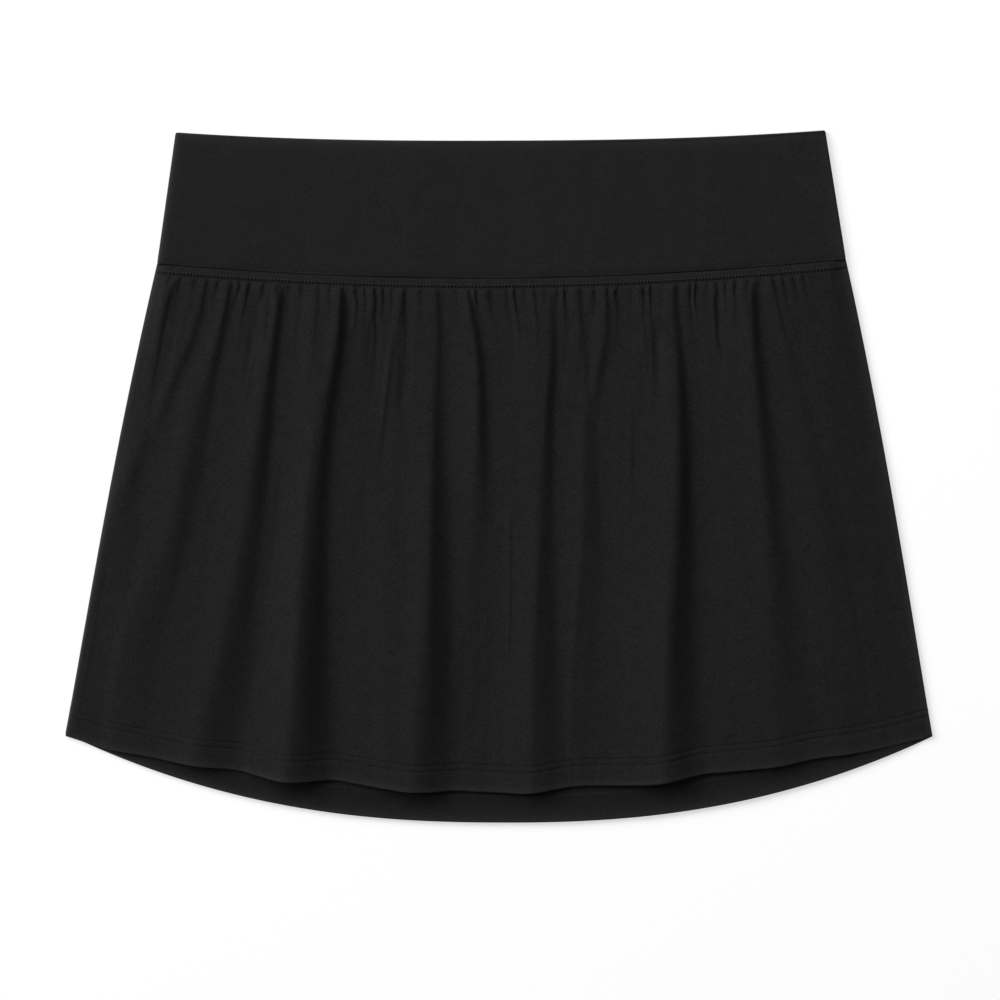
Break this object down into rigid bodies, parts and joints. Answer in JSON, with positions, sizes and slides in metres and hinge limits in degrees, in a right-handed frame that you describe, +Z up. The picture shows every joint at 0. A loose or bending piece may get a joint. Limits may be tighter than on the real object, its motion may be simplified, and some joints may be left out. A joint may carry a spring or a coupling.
{
  "type": "tennis skort",
  "caption": "Short flared tennis skort laid flat, with a wide plain waistband, a gathered skirt in soft folds and inner shorts.",
  "frame": {"origin": "middle of the garment's footprint, on the surface that it lies on", "axes": "+X to the right as the front faces up, +Y towards the waist, +Z up, out of the front"},
  "size_m": [0.486, 0.3879, 0.0156],
  "materials": {
    "waistband_jersey": "matt near-black doubled jersey",
    "skirt_jersey": "matt near-black jersey",
    "shorts_jersey": "smooth near-black stretch jersey"
  },
  "bodies": {
    "root": {"waistband_front": "waistband_jersey", "waistband_back": "waistband_jersey", "skirt_front": "skirt_jersey", "skirt_back": "skirt_jersey", "shorts_left": "shorts_jersey", "shorts_right": "shorts_jersey"}
  },
  "joints": []
}
